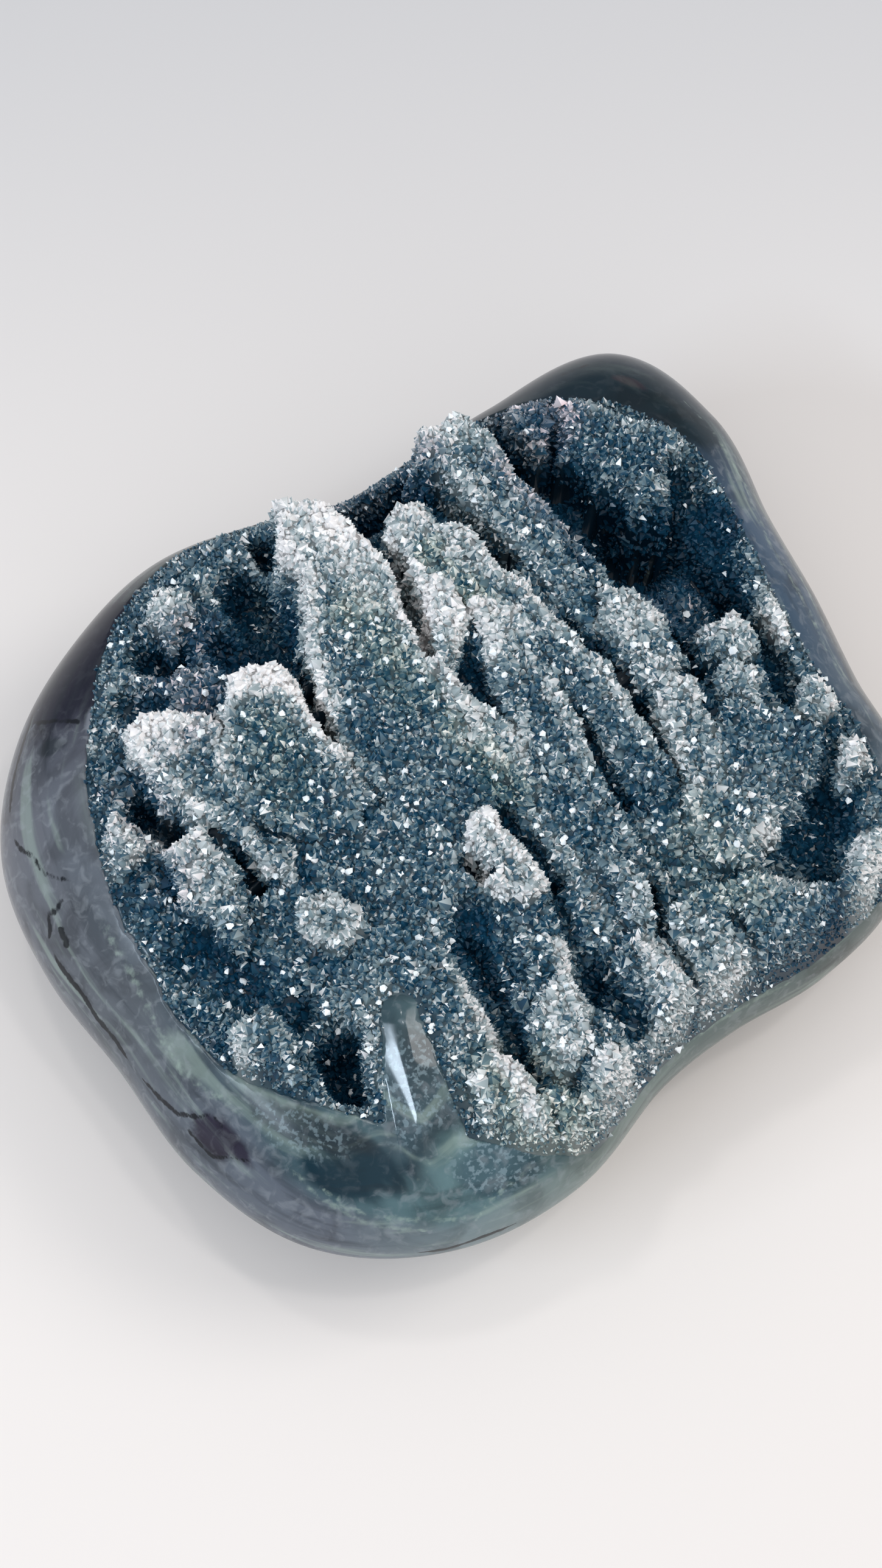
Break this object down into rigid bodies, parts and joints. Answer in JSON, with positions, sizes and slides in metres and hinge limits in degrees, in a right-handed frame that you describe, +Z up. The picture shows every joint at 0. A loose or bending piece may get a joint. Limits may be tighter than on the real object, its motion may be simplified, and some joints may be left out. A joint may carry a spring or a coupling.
{
  "type": "druzy agate free form",
  "caption": "Polished pillow-shaped agate lying on its flat, its upper face an open seam of finger-like ridges and dark hollows crusted with quartz points.",
  "frame": {"origin": "under the middle of the stone's box, on the flat that it rests on", "axes": "+X along the stone, +Y across it towards the ridges' free tips, +Z up through the crusted face"},
  "size_m": [0.1512, 0.125, 0.0469],
  "materials": {
    "polished_agate": "polished grey-green to purple-grey agate with pale band lines and dark cracks",
    "druzy_quartz": "sparkling crust of quartz points, white on the ridges and dark teal in the hollows"
  },
  "bodies": {
    "root": {"agate_body": "polished_agate", "druzy_crust": "druzy_quartz"}
  },
  "joints": []
}
